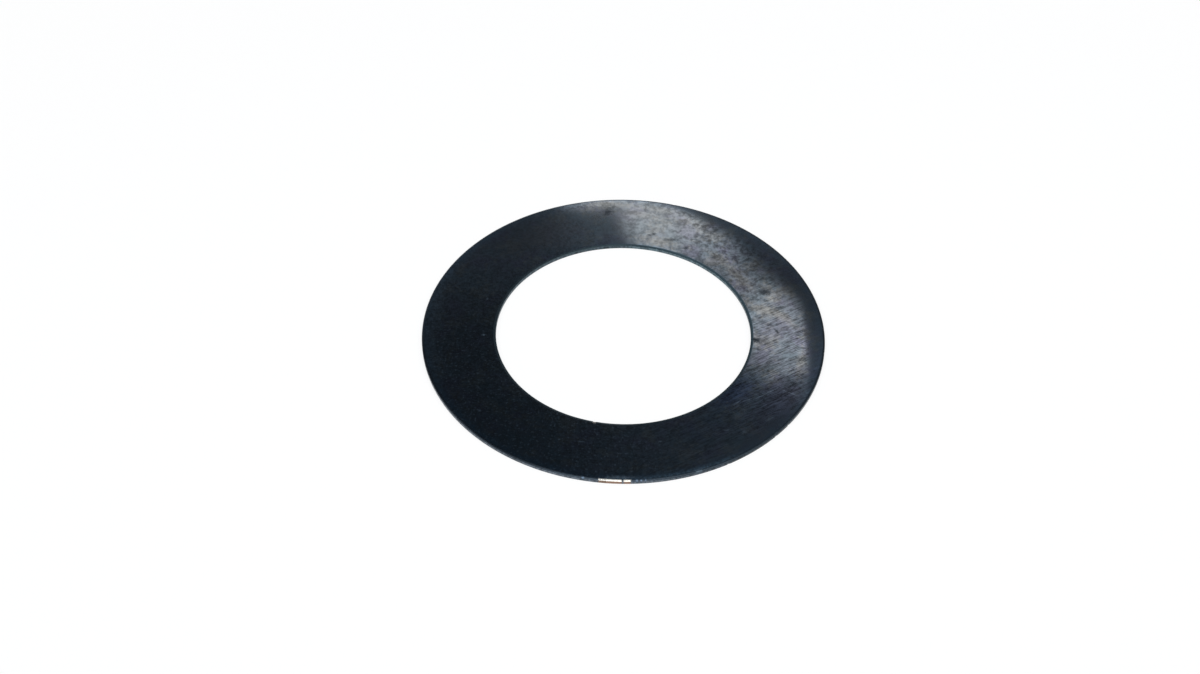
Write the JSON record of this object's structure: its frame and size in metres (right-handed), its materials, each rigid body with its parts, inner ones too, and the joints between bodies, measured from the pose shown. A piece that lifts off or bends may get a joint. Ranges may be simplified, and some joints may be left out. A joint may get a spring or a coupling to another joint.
{
  "type": "shim washer",
  "caption": "Thin flat ring of blued steel with a wide bore and rolled upper edges, that fills an axial gap on a shaft between a shoulder and the part beside it.",
  "frame": {"origin": "centre of the bore in the plane of the lower face, on which the ring lies", "axes": "+Z along the bore axis and up, out of the upper face whose edges are rolled; +X and +Y in the plane of the ring"},
  "size_m": [0.06, 0.06, 0.0006],
  "materials": {
    "blued_steel": "blued cold-rolled strip, satin, with fine straight rolling scratches, worn and stained patches and small pits"
  },
  "bodies": {
    "root": {"shim_washer": "blued_steel"}
  },
  "joints": []
}
